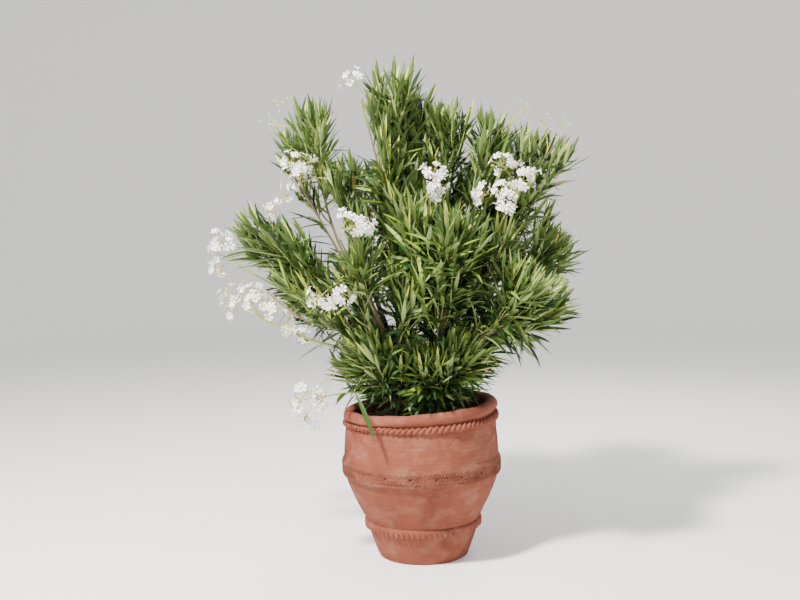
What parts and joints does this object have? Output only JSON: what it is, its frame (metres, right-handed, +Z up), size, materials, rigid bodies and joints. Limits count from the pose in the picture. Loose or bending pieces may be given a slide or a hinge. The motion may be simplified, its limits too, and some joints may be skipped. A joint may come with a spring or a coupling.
{
  "type": "potted oleander",
  "caption": "White-flowered oleander shrub with narrow leaves, growing from canes in a large round terracotta jar; a free-standing patio plant.",
  "frame": {"origin": "centre of the jar's flat underside", "axes": "+Z up through the jar's mouth; -Y to the side that faces the camera; +X to the viewer's right"},
  "size_m": [1.5091, 1.1841, 1.9963],
  "materials": {
    "terracotta": "matte, weathered, unglazed",
    "soil": "matte, damp, crumbly",
    "bark": "matte, smooth grey-brown bark",
    "foliage": "leathery, half-gloss above, paler below",
    "blossom": "soft matte white petals"
  },
  "bodies": {
    "root": {"jar": "terracotta", "soil": "soil", "cane_centre": "bark", "cane_upright": "bark", "cane_left": "bark", "cane_right": "bark", "cane_front_left": "bark", "cane_front_right": "bark", "cane_back_left": "bark", "cane_back_right": "bark", "bough_top_left": "bark", "bough_top_back": "bark", "bough_upper_right": "bark", "bough_centre": "bark", "bough_blossom_right": "bark", "bough_right": "bark", "bough_right_low": "bark", "bough_left": "bark", "bough_left_low": "bark", "bough_blossom_left": "bark", "bough_blossom_low": "bark", "bough_blossom_foot": "bark", "bough_front_right": "bark", "bough_back_left_low": "bark", "bough_back": "bark", "bough_back_right_low": "bark", "leaves_top": "foliage", "leaves_top_left": "foliage", "leaves_top_back": "foliage", "leaves_top_right": "foliage", "leaves_upper_right": "foliage", "leaves_upper_left": "foliage", "leaves_right_high": "foliage", "leaves_right": "foliage", "leaves_right_low": "foliage", "leaves_right_foot": "foliage", "leaves_left_high": "foliage", "leaves_left": "foliage", "leaves_left_low": "foliage", "leaves_centre": "foliage", "leaves_front_left": "foliage", "leaves_front": "foliage", "leaves_front_right": "foliage", "leaves_middle": "foliage", "leaves_middle_left": "foliage", "leaves_middle_right": "foliage", "leaves_middle_front": "foliage", "leaves_low_left": "foliage", "leaves_low_front": "foliage", "leaves_low_right": "foliage", "leaves_back_left": "foliage", "leaves_back_left_low": "foliage", "leaves_back_right": "foliage", "leaves_back": "foliage", "leaves_back_right_low": "foliage", "leaves_low_back": "foliage", "blossom_right": "blossom", "blossom_left": "blossom", "blossom_left_low": "blossom", "blossom_foot": "blossom"}
  },
  "joints": []
}
